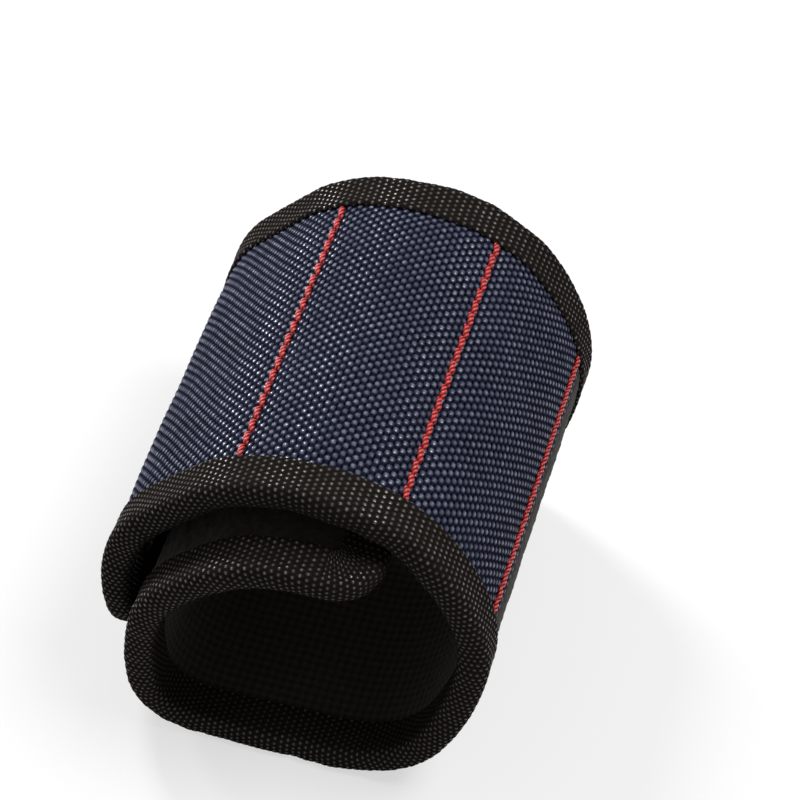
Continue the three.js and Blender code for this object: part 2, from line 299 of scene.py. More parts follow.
class Bench:
    """Node tree of one material."""

    def __init__(self, name: str) -> None:
        """Starts an empty material."""
        self.material = bpy.data.materials.new(name)
        self.material.use_nodes = True
        self.tree = self.material.node_tree
        self.tree.nodes.clear()

    def add(
        self, kind: str, settings: dict[str, object] | None = None,
        inputs: dict[str | int, object] | None = None,
    ) -> bpy.types.Node:
        """Adds any node.

        Args:
            kind: Type of the node.
            settings: Attributes set first.
            inputs: Values or links by socket name or number.

        Returns:
            The node.
        """
        node = self.tree.nodes.new(kind)
        for key, value in (settings or {}).items():
            setattr(node, key, value)
        for key, value in (inputs or {}).items():
            source = value.socket if isinstance(value, Value) else value
            if isinstance(source, bpy.types.NodeSocket):
                self.tree.links.new(source, node.inputs[key])
            else:
                node.inputs[key].default_value = source
        return node

    def out(self, node: bpy.types.Node, output: str | int = 0) -> Value:
        """Output of a node, ready for sums."""
        return Value(self, node.outputs[output])

    def attribute(self, name: str) -> Value:
        """A value kept on the piece's points."""
        return self.out(self.add("ShaderNodeAttribute", {"attribute_name": name}), "Fac")

    def uv(self) -> tuple[Value, Value]:
        """Place along and across the piece, in cells of its weave."""
        node = self.add("ShaderNodeUVMap", {"uv_map": "cloth"})
        parts = self.add("ShaderNodeSeparateXYZ", None, {0: node.outputs[0]})
        return self.out(parts, 0), self.out(parts, 1)

    def noise(self, scale: float, detail: float = 2.0) -> Value:
        """Noise on object coordinates."""
        at = self.add("ShaderNodeTexCoord").outputs["Object"]
        node = self.add("ShaderNodeTexNoise", None, {"Vector": at, "Scale": scale, "Detail": detail})
        return self.out(node, 0)

    def mix(self, share: Value, low: object, high: object) -> Value:
        """Colour between two colours."""
        ends = (end if isinstance(end, Value) else (*end, 1) for end in (low, high))
        node = self.add("ShaderNodeMix", {"data_type": "RGBA"}, {0: share, **dict(zip((6, 7), ends))})
        return self.out(node, 2)

    def bump(self, height: Value, strength: float, distance: float) -> Value:
        """Bump from a height."""
        node = self.add("ShaderNodeBump", None,
                        {"Strength": strength, "Distance": distance, "Height": height})
        return self.out(node)

    def finish(self, **inputs: object) -> bpy.types.Material:
        """Closes the material with a Principled shader.

        Args:
            inputs: Sockets by name, with _ for spaces.

        Returns:
            The material.
        """
        sockets = {key.replace("_", " "): value for key, value in inputs.items()}
        shader = self.add("ShaderNodeBsdfPrincipled", None, sockets)
        self.add("ShaderNodeOutputMaterial", None, {"Surface": shader.outputs[0]})
        return self.material


@dataclass(frozen=True)
class YarnFinish:
    """Woven yarn: painted shade between the floats, with a painted highlight as a pale line along each
    float's crest.
    """

    name: str
    # deep is the colour of the hollows between the floats, darkened there as painted shade; the third colour
    # is the painted highlight along the crests.
    deep: Triple
    crest: Triple
    painted_highlight: Triple
    rough: tuple[float, float]
    filament: float
    highlight_streak: float
    spread: float
    power: float
    gloss: float

    def build(self) -> bpy.types.Material:
        """Makes the material."""
        bench = Bench(self.name)
        lift = bench.attribute("lift")
        tone = bench.attribute("tone")
        along, across = bench.uv()
        cross = bench.attribute("cross")
        lay = across * (1 - cross) + along * cross
        lean = along * (1 - cross) + across * cross
        strands = (lay * self.filament + lean * (self.filament * 0.28)).sine()
        patch = bench.noise(70.0)
        # Darker low on the yarn, in the hollows and on the lower long yarn: painted shade, mixed with random
        # tone per cell and noise patches.
        share = ((lift ** self.power) * (1 - self.spread + tone * (2 * self.spread))
                 * (patch * 0.5 + 0.75) * (cross * 0.55 + 0.45) + strands * lift * 0.05).unit()
        # A pale line of the third colour along each float's crest: painted highlight.
        column = along.math("FLOOR")
        aside = (along - column - 0.5) * (1 / self.highlight_streak)
        over = 0.0 - ((across + column - 0.5) * math.pi).math("COSINE")
        float_top = ((over + 0.1) * 1.8).unit() * (1 - aside * aside * 0.7).unit()
        highlight_streak = ((1 - aside * aside).unit() * float_top * (tone * tone * 0.75 + 0.25)
                  * (patch * 0.8 + 0.6)).unit()
        colour = bench.mix(highlight_streak, bench.mix(share, self.deep, self.crest), self.painted_highlight)
        rough = lift * (self.rough[1] - self.rough[0]) + self.rough[0]
        normal = bench.bump(strands, 0.35, 0.00006)
        return bench.finish(Base_Color=colour, Roughness=rough, Normal=normal, Specular_IOR_Level=0.0,
                            Coat_Weight=(float_top * (tone * 0.6 + 0.4) * self.gloss).unit(),
                            Coat_Roughness=0.16, Coat_IOR=1.65)


@dataclass(frozen=True)
class PileFinish:
    """Brushed loop pile or knitted mesh, darker where it lies low: painted shade."""

    name: str
    deep: Triple
    crest: Triple
    grain: float
    sheen: float

    def build(self) -> bpy.types.Material:
        """Makes the material."""
        bench = Bench(self.name)
        lift = bench.attribute("lift")
        fine = bench.noise(self.grain, 3.0)
        broad = bench.noise(60.0)
        # Low lift gives the deep colour: painted shade at the low points, mixed with random grain noise.
        share = (lift * 0.8 + fine * 0.8 + broad * 0.4 - 0.6).unit()
        colour = bench.mix(share, self.deep, self.crest)
        normal = bench.bump(fine, 0.6, 0.0003)
        return bench.finish(Base_Color=colour, Roughness=fine * 0.2 + 0.75, Normal=normal,
                            Sheen_Weight=self.sheen, Sheen_Roughness=0.5, Specular_IOR_Level=0.06)


@dataclass(frozen=True)
class ThreadFinish:
    """Twisted thread, darker where its lift is low, in the grooves between its strands: painted shade."""

    name: str
    groove: Triple
    strand: Triple

    def build(self) -> bpy.types.Material:
        """Makes the material."""
        bench = Bench(self.name)
        lift = bench.attribute("lift")
        fine = bench.noise(2500.0)
        # Low lift gives the groove colour: painted shade.
        share = (lift * 1.1 + fine * 0.3 - 0.2).unit()
        colour = bench.mix(share, self.groove, self.strand)
        return bench.finish(Base_Color=colour, Roughness=0.6 - lift * 0.2,
                            Normal=bench.bump(fine, 0.3, 0.0001), Specular_IOR_Level=0.2,
                            Coat_Weight=(lift ** 2.0) * 0.8, Coat_Roughness=0.25)


@dataclass(frozen=True)
class SolidFinish:
    """Foam, moulded hooks or plated magnet."""

    name: str
    colour: Triple
    shade: Triple
    rough: float
    metal: float
    grain: float
    depth: float

    def build(self) -> bpy.types.Material:
        """Makes the material."""
        bench = Bench(self.name)
        grain = bench.noise(self.grain, 3.0)
        colour = bench.mix(grain, self.shade, self.colour)
        return bench.finish(Base_Color=colour, Roughness=grain * 0.2 + (self.rough - 0.1),
                            Metallic=self.metal, Normal=bench.bump(grain, 0.5, self.depth))


FINISHES = {
    # Each yarn's deep colour is painted shade between the floats, and its third colour is the painted
    # highlight on the crests.
    Slot.NAVY: YarnFinish(
        "navy_nylon", deep=(0.001, 0.0012, 0.0026), crest=(0.048, 0.054, 0.096), painted_highlight=(0.12, 0.131, 0.188),
        rough=(0.7, 0.42), filament=38.0, highlight_streak=0.26, spread=0.16, power=1.3, gloss=0.95),
    Slot.TAPE: YarnFinish(
        "binding_tape", deep=(0.0095, 0.008, 0.007), crest=(0.021, 0.0178, 0.016), painted_highlight=(0.16, 0.142, 0.13),
        rough=(0.7, 0.36), filament=44.0, highlight_streak=0.2, spread=0.3, power=1.5, gloss=0.62),
    Slot.LOOP: PileFinish(
        "black_loop", deep=(0.018, 0.0155, 0.013), crest=(0.039, 0.0345, 0.0305), grain=900.0, sheen=0.05),
    Slot.LINING: PileFinish(
        "lining", deep=(0.018, 0.0155, 0.013), crest=(0.044, 0.039, 0.0345), grain=1400.0, sheen=0.03),
    Slot.THREAD: ThreadFinish("red_thread", groove=(0.055, 0.001, 0.0015), strand=(0.7, 0.046, 0.04)),
    Slot.FOAM: SolidFinish(
        "foam", colour=(0.035, 0.035, 0.037), shade=(0.02, 0.02, 0.021),
        rough=0.9, metal=0.0, grain=1800.0, depth=0.0003),
    Slot.HOOK: SolidFinish(
        "hook_tape", colour=(0.02, 0.02, 0.022), shade=(0.008, 0.008, 0.009),
        rough=0.5, metal=0.0, grain=600.0, depth=0.0001),
    Slot.MAGNET: SolidFinish(
        "magnet", colour=(0.74, 0.73, 0.70), shade=(0.62, 0.61, 0.58),
        rough=0.3, metal=1.0, grain=300.0, depth=0.00003),
}


@dataclass
class Wardrobe:
    """Materials made once and given to the pieces."""

    made: dict[Slot, bpy.types.Material] = field(default_factory=dict)

    def material(self, slot: Slot) -> bpy.types.Material:
        """Material of a slot, made the first time it is asked for."""
        if slot not in self.made:
            self.made[slot] = FINISHES[slot].build()
        return self.made[slot]

    def dress(self, piece: bpy.types.Object, slot: Slot) -> None:
        """Gives a piece the material of its slot."""
        piece.data.materials.clear()
        piece.data.materials.append(self.material(slot))


WARDROBE = Wardrobe()


def new_piece(name: str, mesh: bpy.types.Mesh) -> bpy.types.Object:
    """Puts a mesh into the scene as a smooth piece."""
    piece = bpy.data.objects.new(name, mesh)
    bpy.context.scene.collection.objects.link(piece)
    mesh.polygons.foreach_set("use_smooth", np.ones(len(mesh.polygons), bool))
    return piece


def keep(mesh: bpy.types.Mesh, name: str, values: np.ndarray) -> None:
    """Keeps a value on each point for the material."""
    attribute = mesh.attributes.new(name, "FLOAT", "POINT")
    attribute.data.foreach_set("value", np.ascontiguousarray(values, np.float32))


def read_points(mesh: bpy.types.Mesh) -> np.ndarray:
    """Points of a mesh, one row each."""
    points = np.empty(len(mesh.vertices) * 3, np.float32)
    mesh.vertices.foreach_get("co", points)
    return points.reshape(-1, 3)


def set_points(mesh: bpy.types.Mesh, points: np.ndarray) -> None:
    """Moves the points of a mesh into place."""
    mesh.vertices.foreach_set("co", points.astype(np.float32).ravel())
    mesh.update()


def on_grid(mesh: bpy.types.Mesh, stations: np.ndarray, columns: np.ndarray) -> list[np.ndarray]:
    """Station and column of each point of a flat grid that reaches from -1 to 1.

    Args:
        mesh: The flat grid.
        stations: Places along it.
        columns: Places across it.

    Returns:
        The station and the column of each point.
    """
    shares = (read_points(mesh)[:, :2].T + 1) / 2
    return [marks[np.rint(share * (len(marks) - 1)).astype(int)]
            for share, marks in zip(shares, (stations, columns))]


def keep_uv(mesh: bpy.types.Mesh, u: np.ndarray, v: np.ndarray) -> None:
    """Keeps the place along and across as the UV map."""
    index = np.empty(len(mesh.loops), np.int32)
    mesh.loops.foreach_get("vertex_index", index)
    layer = mesh.uv_layers.new(name="cloth")
    layer.data.foreach_set("uv", np.stack([u, v], 1)[index].astype(np.float32).ravel())


class GridSheet:
    """A sheet on a grid of stations and columns, moved into place point by point."""

    def __init__(self, name: str, stations: np.ndarray, columns: np.ndarray) -> None:
        """Makes the flat grid.

        Args:
            name: Name of the piece.
            stations: Places along the sheet.
            columns: Places across it.
        """
        self.name = name
        bm = bmesh.new()
        bmesh.ops.create_grid(bm, x_segments=len(stations) - 1, y_segments=len(columns) - 1, size=1.0)
        self.mesh = bpy.data.meshes.new(name)
        bm.to_mesh(self.mesh)
        bm.free()
        self.u, self.v = on_grid(self.mesh, stations, columns)

    def piece(self, points: np.ndarray, values: dict[str, np.ndarray]) -> bpy.types.Object:
        """Finishes the sheet.

        Args:
            points: Place of each point, in metres.
            values: Values kept for the material.

        Returns:
            The piece.
        """
        keep_uv(self.mesh, self.u, self.v)
        for key, value in values.items():
            keep(self.mesh, key, value)
        set_points(self.mesh, points)
        return new_piece(self.name, self.mesh)


@dataclass(frozen=True)
class Weave:
    """Plain weave of two yarns: cell size, swing over and under, and roundness, in mm."""

    along: float
    across: float
    swing: tuple[float, float]
    round: tuple[float, float]
    sunk: float
    fullness: float
    flatness: float
    seed: int

    def cells(self, u: np.ndarray, v: np.ndarray) -> tuple[np.ndarray, np.ndarray]:
        """Millimetres along and across as uneven cells of the weave."""
        u = u / self.along + 0.06 * drift(u / 9, v / 5, self.seed)
        return u, v / self.across + 0.05 * drift(u / 6, v / 8, self.seed + 1)

    def relief(self, u: np.ndarray, v: np.ndarray) -> tuple[np.ndarray, dict[str, np.ndarray]]:
        """Height of the cloth.

        Args:
            u: Cells along.
            v: Cells across.

        Returns:
            Height in mm, and the values that the material reads.
        """
        i, j = np.floor(u), np.floor(v)
        a, b = u - i - 0.5, v - j - 0.5
        rise = np.cos(np.pi * (u - 0.5 + j))
        dive = -np.cos(np.pi * (v - 0.5 + i))
        long = self.swing[0] * rise + self.round[0] * np.sqrt(1 - (1.94 * np.abs(b)) ** 2) - self.sunk
        cross = (self.swing[1] * np.sign(dive) * np.abs(dive) ** self.fullness
                 + self.round[1] * np.sqrt(1 - (1.96 * np.abs(a)) ** self.flatness))
        over = cross > long
        top = np.maximum(long, cross)
        least = self.round[1] * 0.2
        most = self.swing[1] + self.round[1]
        tone = lattice(i, j, self.seed + 2)
        values = {
            "lift": np.clip((top - least) / (most - least), 0, 1),
            "tone": tone,
            "cross": over.astype(float),
        }
        return top + 0.02 * (tone - 0.5), values


NAVY_WEAVE = Weave(1.25, 1.0, (0.05, 0.12), (0.09, 0.27), 0.06, 0.42, 2.6, 3)
TAPE_WEAVE = Weave(1.38, 0.63, (0.03, 0.07), (0.05, 0.17), 0.03, 0.55, 2.1, 11)


def end_half(s: np.ndarray, inset: float) -> np.ndarray:
    """Half width of the strap, less at its rounded ends.

    Args:
        s: Distance along the strap.
        inset: Distance in from the strap's edge.

    Returns:
        Half width at each distance.
    """
    radius = END_RADIUS - inset
    tip = np.minimum(s, STRAP.length - s) - inset
    drop = np.clip(radius - tip, 0, radius)
    return STRAP_HALF - inset - radius + np.sqrt(radius ** 2 - drop ** 2)


def rows_lift(s: np.ndarray, w: np.ndarray) -> np.ndarray:
    """Rise of the padded panels, with the dip that each stitch row pulls into the cloth.

    Args:
        s: Distance along the strap.
        w: Distance across it.

    Returns:
        Height over the flat cloth, in mm.
    """
    inner = STRAP_HALF - COVER
    lift = np.zeros_like(s)
    for low, high in zip(ROWS, ROWS[1:]):
        lift = lift + PANEL_CROWN * swell(2 * (s - low) / (high - low) - 1, 3.0) * (s >= low) * (s < high)
    lift = lift * swell(w / inner, 6.0)
    gather = 0.75 + 0.25 * np.cos(2 * np.pi * w / ROW_GATHER)
    for row in ROWS:
        lift = lift - ROW_DIP * np.exp(-((s - row) / ROW_REACH) ** 2) * gather * (np.abs(w) < inner + 1)
    return lift + 0.12 * drift(s / 14, w / 11, 5) * swell(w / inner, 6.0)


def woven_columns(pitch: float, samples: int, fine: float, half: float) -> np.ndarray:
    """Places across the strap: fine where the cloth shows, coarse beneath the tape.

    Args:
        pitch: Width of a yarn.
        samples: Points to a yarn.
        fine: Reach of the fine part.
        half: Half width of the cloth.

    Returns:
        Places from the near side to the far one.
    """
    step = pitch / samples
    count = math.floor(fine / step)
    middle = np.arange(-count, count + 1) * step
    outer = np.linspace(count * step, half, 5)[1:]
    return np.concatenate([-outer[::-1], middle, outer])


@dataclass
class FaceCloth:
    """Outer face: navy shell over the magnets, then black loop pile to the inner end."""

    inset: float = 0.7
    seat: float = 2.2
    samples: tuple[int, int] = (6, 5)
    woven: float = 36.9
    shown: float = 37.4
    shown_from: float = 7.6
    hem: float = 1.1
    loop_seat: float = 2.45
    loop_tuck: float = 1.78
    loop_start: float = 141.0
    loop_step: float = 0.55

    @property
    def half(self) -> float:
        """Half width of the cloth."""
        return STRAP_HALF - self.inset

    def shell(self, span: Span) -> bpy.types.Object:
        """Navy shell of one span.

        Args:
            span: The stretch of the strap.

        Returns:
            The piece.
        """
        cut = span.cut(self.inset, NAVY_END)
        stations = cut.stations(NAVY_WEAVE.along / self.samples[0])
        columns = woven_columns(NAVY_WEAVE.across, self.samples[1], self.woven, self.half)
        sheet = GridSheet(f"shell_cloth_{span.label}", stations, columns)
        s, w = sheet.u, sheet.v * end_half(sheet.u, self.inset) / self.half
        cells = NAVY_WEAVE.cells(s, w)
        relief, values = NAVY_WEAVE.relief(*cells)
        shown = np.clip((self.shown - np.abs(w)) / 0.8, 0, 1) * np.clip((s - self.shown_from) / 0.8, 0, 1)
        n = self.seat + rows_lift(s, w) + relief * shown
        hem = np.clip((s - NAVY_END + self.hem) / self.hem, 0, 1)
        n = n + 0.12 * np.sin(np.pi * hem) - 0.55 * hem ** 3
        sheet.u, sheet.v = cells
        piece = sheet.piece(STRAP.wind(s, w, n), values)
        WARDROBE.dress(piece, Slot.NAVY)
        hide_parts(*span.nodes("shell"))
        span.follow(piece)
        return piece

    def loop(self, span: Span) -> bpy.types.Object:
        """Loop pile of one span.

        Args:
            span: The stretch of the strap.

        Returns:
            The piece.
        """
        cut = span.cut(self.loop_start, STRAP.length - self.inset)
        columns = woven_columns(self.loop_step, 1, self.shown, self.half)
        sheet = GridSheet(f"loop_face_{span.label}", cut.stations(self.loop_step), columns)
        s, w = sheet.u, sheet.v * end_half(sheet.u, self.inset) / self.half
        pile = (0.16 * drift(s / 1.1, w / 1.1, 21) + 0.12 * drift(s / 0.6, w / 0.6, 22)
                + 0.1 * drift(s / 7, w / 9, 23))
        shown = np.clip((self.shown - np.abs(w)) / 1.2, 0, 1)
        rise = np.clip((s - NAVY_END + 0.6) / 2.2, 0, 1)
        ease = rise * rise * (3 - 2 * rise)
        n = self.loop_tuck + (self.loop_seat - self.loop_tuck) * ease + pile * shown * rise
        # Lift follows the pile's height, so the low pile is painted darker: painted shade.
        values = {"lift": np.clip(0.5 + 1.7 * pile, 0, 1)}
        piece = sheet.piece(STRAP.wind(s, w, n), values)
        WARDROBE.dress(piece, Slot.LOOP)
        if span.label not in PANELS:
            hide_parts(*span.nodes("loop"))
        span.follow(piece)
        return piece

    def build(self) -> list[bpy.types.Object]:
        """Makes every piece of the face."""
        shells = [self.shell(span) for span in SPANS[:4]]
        return shells + [self.loop(span) for span in SPANS[3:]]


@dataclass
class LiningCloth:
    """Knitted mesh on the inside of the band."""

    inset: float = 0.7
    seat: float = -2.45
    shown: float = 37.0
    cell: float = 2.0
    step: float = 0.5

    def sheet(self, span: Span) -> bpy.types.Object:
        """Lining of one span.

        Args:
            span: The stretch of the strap.

        Returns:
            The piece.
        """
        half = STRAP_HALF - self.inset
        cut = span.cut(self.inset, STRAP.length - self.inset)
        columns = woven_columns(self.step, 1, self.shown, half)[::-1]
        grid = GridSheet(f"lining_cloth_{span.label}", cut.stations(self.step), columns)
        s, w = grid.u, grid.v * end_half(grid.u, self.inset) / half
        a, b = np.pi * s / self.cell, np.pi * w / self.cell
        knit = np.cos(a + b) * np.cos(a - b)
        eye = np.clip(-knit - 0.25, 0, 1)
        shown = np.clip(self.shown - np.abs(w), 0, 1)
        n = self.seat - shown * (0.16 * knit - 0.18 * eye) - 0.06 * drift(s / 12, w / 12, 31)
        # The knit's eyes and low points get low lift and are painted darker: painted shade in the holes.
        piece = grid.piece(STRAP.wind(s, w, n), {"lift": np.clip(0.55 + 0.45 * knit - eye, 0, 1)})
        WARDROBE.dress(piece, Slot.LINING)
        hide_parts(*span.nodes("lining"))
        span.follow(piece)
        return piece

    def build(self) -> list[bpy.types.Object]:
        """Makes every piece of the lining."""
        return [self.sheet(span) for span in SPANS]


@dataclass
class EdgeTape:
    """Woven tape folded over both long edges and around the rounded ends."""

    section: tuple[tuple[float, float], ...] = (
        (9.15, 2.30), (9.30, 2.70), (9.05, 3.08), (8.50, 3.22), (7.0, 3.12), (5.0, 3.14), (3.2, 3.26),
        (1.9, 3.30), (0.85, 2.95), (0.15, 2.05), (-0.15, 1.0), (-0.2, 0.0), (-0.15, -1.0), (0.15, -2.05),
        (0.85, -2.95), (1.9, -3.28), (3.2, -3.24), (5.0, -3.12), (7.0, -3.10), (8.5, -3.18),
        (9.05, -3.02), (9.30, -2.70), (9.15, -2.30),
    )
    samples: tuple[int, int] = (6, 3)
    nodes: dict[str, tuple[str, ...]] = field(default_factory=lambda: {
        "tab": ("binding_tab",),
        "inner": ("binding_inner_top", "binding_near_inner_left", "binding_far_inner_left"),
    })
    end_spacing: float = 1.12

    def profile(self) -> tuple[np.ndarray, np.ndarray, np.ndarray, np.ndarray, np.ndarray]:
        """Section of the folded tape, evenly spaced.

        Returns:
            Distance along it, distance in from the edge, height, and the two parts of its normal.
        """
        points = np.array(self.section)
        ends = np.vstack([2 * points[0] - points[1], points, 2 * points[-1] - points[-2]])
        t = np.linspace(0, 1, 12, endpoint=False)[:, None]
        curve = []
        for p0, p1, p2, p3 in zip(ends, ends[1:], ends[2:], ends[3:]):
            curve.append(0.5 * (2 * p1 + (p2 - p0) * t + (2 * p0 - 5 * p1 + 4 * p2 - p3) * t ** 2
                                + (3 * p1 - p0 - 3 * p2 + p3) * t ** 3))
        curve = np.vstack([*curve, points[-1:]])
        run = np.concatenate([[0], np.cumsum(np.linalg.norm(np.diff(curve, axis=0), axis=1))])
        count = round(run[-1] / (TAPE_WEAVE.across / self.samples[1]))
        q = np.linspace(0, run[-1], count + 1)
        d, n = np.interp(q, run, curve[:, 0]), np.interp(q, run, curve[:, 1])
        slope_d, slope_n = np.gradient(d, q), np.gradient(n, q)
        size = np.hypot(slope_d, slope_n)
        return q, d, n, slope_n / size, -slope_d / size

    def straight(self, span: Span, side: Side, step: float) -> tuple[np.ndarray, ...]:
        """Edge of a span on one side: running length, s, w, the way in, and the weave's place."""
        s = span.stations(step)
        if side is Side.NEAR:
            s = s[::-1]
        zero = np.zeros_like(s)
        return np.abs(s - s[0]), s, zero + side.value * STRAP_HALF, zero, zero - side.value, s

    def around(self, span: Span, step: float) -> tuple[np.ndarray, ...]:
        """Edge around a rounded end.

        Args:
            span: The span with the end.
            step: Spacing of the points.

        Returns:
            Running length, s, w, the two parts of the way in, and the weave's place.
        """
        outer = span.start == 0
        joint, tip = (span.end, 0.0) if outer else (span.start, STRAP.length)
        way = 1.0 if tip > joint else -1.0
        corner = tip - way * END_RADIUS
        flank = STRAP_HALF - END_RADIUS
        side = -1.0 if outer else 1.0
        leg = abs(corner - joint)
        bend = END_RADIUS * math.pi / 2
        total = 2 * leg + 2 * bend + 2 * flank
        t = np.linspace(0, total, round(total / step) + 1)
        first = np.minimum(t, total - t)
        back = np.where(t <= total / 2, side, -side)
        angle = np.clip((first - leg) / END_RADIUS, 0, math.pi / 2)
        past = np.clip(first - leg - bend, 0, None)
        s = np.where(first <= leg, joint + way * first, corner + way * END_RADIUS * np.sin(angle))
        w = np.where(first <= leg, STRAP_HALF, flank + END_RADIUS * np.cos(angle) - past)
        return t, s, back * w, -way * np.sin(angle), -back * np.cos(angle), joint + way * first

    def run(
        self, name: str, span: Span, path: tuple[np.ndarray, ...], nodes: tuple[str, ...],
    ) -> bpy.types.Object:
        """One length of tape.

        Args:
            name: Name of the piece.
            span: The span that it lies on.
            path: Running length, s, w, the way in and the weave's place.
            nodes: Nodes that it stands for.

        Returns:
            The piece.
        """
        q, d, n, out_d, out_n = self.profile()
        t, s, w, in_s, in_w, mark = path
        grid = GridSheet(name, np.arange(len(t), dtype=float), np.arange(len(q), dtype=float))
        i, j = grid.u.astype(int), grid.v.astype(int)
        base = mark[i]
        cells = TAPE_WEAVE.cells(base, q[j])
        relief, values = TAPE_WEAVE.relief(*cells)
        edge = np.minimum(q[j], q[-1] - q[j])
        face = np.clip((n[j] - 0.8) / 2.0, 0.2, 1)
        relief = relief * np.clip(edge / 0.5, 0.15, 1) * (0.4 + 0.6 * face)
        # Less tone off the outer face darkens the colour and the painted highlight on the rim and inner
        # side: painted shade.
        values["tone"] = values["tone"] * face
        wobble = 0.16 * drift(base / 6, q[j] / 7, 41) + 0.22 * drift(base / 17, q[j] / 30, 42)
        lip = np.clip((d[j] - 5) / 4, 0, 1)
        rim = np.clip(1 - d[j] / 3, 0, 1)
        uneven = 0.5 * drift(base / 8, q[j] * 0 + 0.5, 43) + 0.2 * drift(base / 2.6, q[j] / 4, 44)
        depth = d[j] + out_d[j] * relief + wobble * 0.9 * lip + uneven * rim
        flank = np.sign(n[j]) * (1 - lip) * np.clip(np.abs(n[j]) / 2, 0, 1)
        height = n[j] + out_n[j] * relief + 0.4 * wobble * flank
        points = STRAP.wind(s[i] + depth * in_s[i], w[i] + depth * in_w[i], height)
        grid.u, grid.v = cells
        piece = grid.piece(points, values)
        WARDROBE.dress(piece, Slot.TAPE)
        t[-1] * MM
        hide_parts(*nodes)
        span.follow(piece)
        return piece

    def build(self) -> list[bpy.types.Object]:
        """Makes every length of tape."""
        step = TAPE_WEAVE.along / self.samples[0]
        pieces = []
        for span in (SPANS[0], SPANS[-1]):
            path = self.around(span, step * self.end_spacing)
            pieces.append(self.run(f"tape_end_{span.label}", span, path, self.nodes[span.label]))
        for span in SPANS[1:-1]:
            for side in Side:
                place = f"{side.name.lower()}_{span.label}"
                path = self.straight(span, side, step)
                pieces.append(self.run(f"tape_{place}", span, path, (f"binding_{place}",)))
        return pieces


@dataclass
class FoamPads:
    """Foam between the face and the lining, with a pocket for each magnet."""

    inset: float = 1.1
    half_thick: float = 1.6
    pocket_radius: float = 7.3
    pocket_floor: float = -1.0
    step: float = 1.0

    def pad(self, span: Span) -> bpy.types.Object:
        """Foam of one span.

        Args:
            span: The stretch of the strap.

        Returns:
            The piece.
        """
        half = STRAP_HALF - self.inset
        stations = span.cut(self.inset, STRAP.length - self.inset).stations(self.step)
        columns = np.linspace(-half, half, round(2 * half / self.step) + 1)
        bm = bmesh.new()
        bmesh.ops.create_grid(bm, x_segments=len(stations) - 1, y_segments=len(columns) - 1, size=1.0)
        raised = bmesh.ops.extrude_face_region(bm, geom=bm.faces[:])["geom"]
        for vert in (part for part in raised if isinstance(part, bmesh.types.BMVert)):
            vert.co.z = 1.0
        bmesh.ops.recalc_face_normals(bm, faces=bm.faces[:])
        mesh = bpy.data.meshes.new(f"pad_{span.label}")
        bm.to_mesh(mesh)
        bm.free()
        upper = read_points(mesh)[:, 2] > 0.5
        s, w = on_grid(mesh, stations, columns)
        w = w * end_half(s, self.inset) / half
        pocket = np.zeros_like(s)
        for station in MAGNET_STATIONS:
            for step in (-MAGNET_STEP, 0, MAGNET_STEP):
                reach = np.hypot(s - station, w - step)
                pocket = np.maximum(pocket, np.clip((self.pocket_radius + 0.9 - reach) / 0.8, 0, 1))
        soft = 1 - 0.45 * np.clip((np.abs(w) - half + 2.5) / 2.5, 0, 1) ** 2
        top = self.half_thick * soft * (1 - pocket) + self.pocket_floor * pocket
        n = np.where(upper, top, -self.half_thick * soft)
        set_points(mesh, STRAP.wind(s, w, n))
        piece = new_piece(f"pad_{span.label}", mesh)
        WARDROBE.dress(piece, Slot.FOAM)
        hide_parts(*span.nodes("insert" if span.label in PANELS else "foam"))
        span.follow(piece)
        return piece

    def build(self) -> list[bpy.types.Object]:
        """Makes every pad."""
        return [self.pad(span) for span in SPANS]


def repeat(
    name: str, template: bmesh.types.BMesh, count: int,
) -> tuple[bpy.types.Mesh, np.ndarray, np.ndarray]:
    """A mesh of many copies of one shape.

    Args:
        name: Name of the mesh.
        template: The shape; it is freed.
        count: How many copies.

    Returns:
        The mesh, the template's points for every copy, and the number of each point's copy.
    """
    single = bpy.data.meshes.new(f"{name}_one")
    template.to_mesh(single)
    template.free()
    bm = bmesh.new()
    for _ in range(count):
        bm.from_mesh(single)
    mesh = bpy.data.meshes.new(name)
    bm.to_mesh(mesh)
    bm.free()
    which = np.repeat(np.arange(count), len(single.vertices))
    bpy.data.meshes.remove(single)
    return mesh, read_points(mesh).astype(float), which


